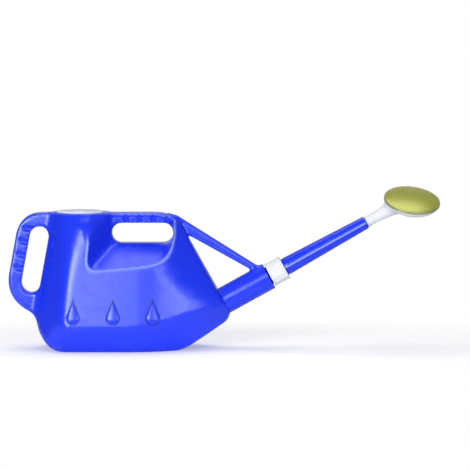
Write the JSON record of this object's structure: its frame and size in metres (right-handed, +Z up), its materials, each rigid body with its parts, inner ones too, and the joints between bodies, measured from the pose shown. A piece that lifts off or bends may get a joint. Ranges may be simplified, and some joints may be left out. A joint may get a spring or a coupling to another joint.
{
  "type": "watering can",
  "caption": "Moulded watering can with top and rear hand grips, a brace, a sunk filler cap, a spout on a union nut and a swivelling perforated rose.",
  "frame": {"origin": "middle of the flat base, on the surface it stands on", "axes": "+X towards the spout's rose, +Y across the tank, +Z up"},
  "size_m": [0.7351, 0.1748, 0.2735],
  "materials": {
    "blue_plastic": "satin blow-moulded polyethylene",
    "white_plastic": "satin",
    "seal_rubber": "matte",
    "rose_metal": "satin"
  },
  "bodies": {
    "can": {"tank_shell": "blue_plastic", "top_handle": "blue_plastic", "rear_handle": "blue_plastic", "brace": "blue_plastic", "spout_neck": "blue_plastic"},
    "cap": {"filler_cap": "white_plastic", "cap_seal": "seal_rubber"},
    "spout": {"spout_tube": "blue_plastic", "spout_washer": "seal_rubber"},
    "nut": {"union_nut": "white_plastic"},
    "seal": {"rose_seal": "seal_rubber"},
    "rose": {"rose_body": "white_plastic", "rose_face": "rose_metal"}
  },
  "joints": [
    {"name": "cap_lift", "type": "slide", "parent": "can", "child": "cap", "axis": [0, 0, 1], "range_m": [0, 0.06]},
    {"name": "spout_draw", "type": "slide", "parent": "can", "child": "spout", "axis": [0.8746, 0, 0.4848], "range_m": [0, 0.0202]},
    {"name": "nut_turn", "type": "hinge", "parent": "spout", "child": "nut", "pos_m": [0.1755, 0, 0.081], "axis": [0.8746, 0, 0.4848], "range_deg": [0, 1200]},
    {"name": "rose_pull", "type": "slide", "parent": "spout", "child": "seal", "axis": [0.8746, 0, 0.4848], "range_m": [0, 0.03]},
    {"name": "rose_swivel", "type": "hinge", "parent": "seal", "child": "rose", "pos_m": [0.1755, 0, 0.081], "axis": [0.8746, 0, 0.4848], "continuous": true}
  ],
  "couplings": [
    {"joint": "spout_draw", "follows": "nut_turn", "m_per_rad": 0.00095493}
  ]
}
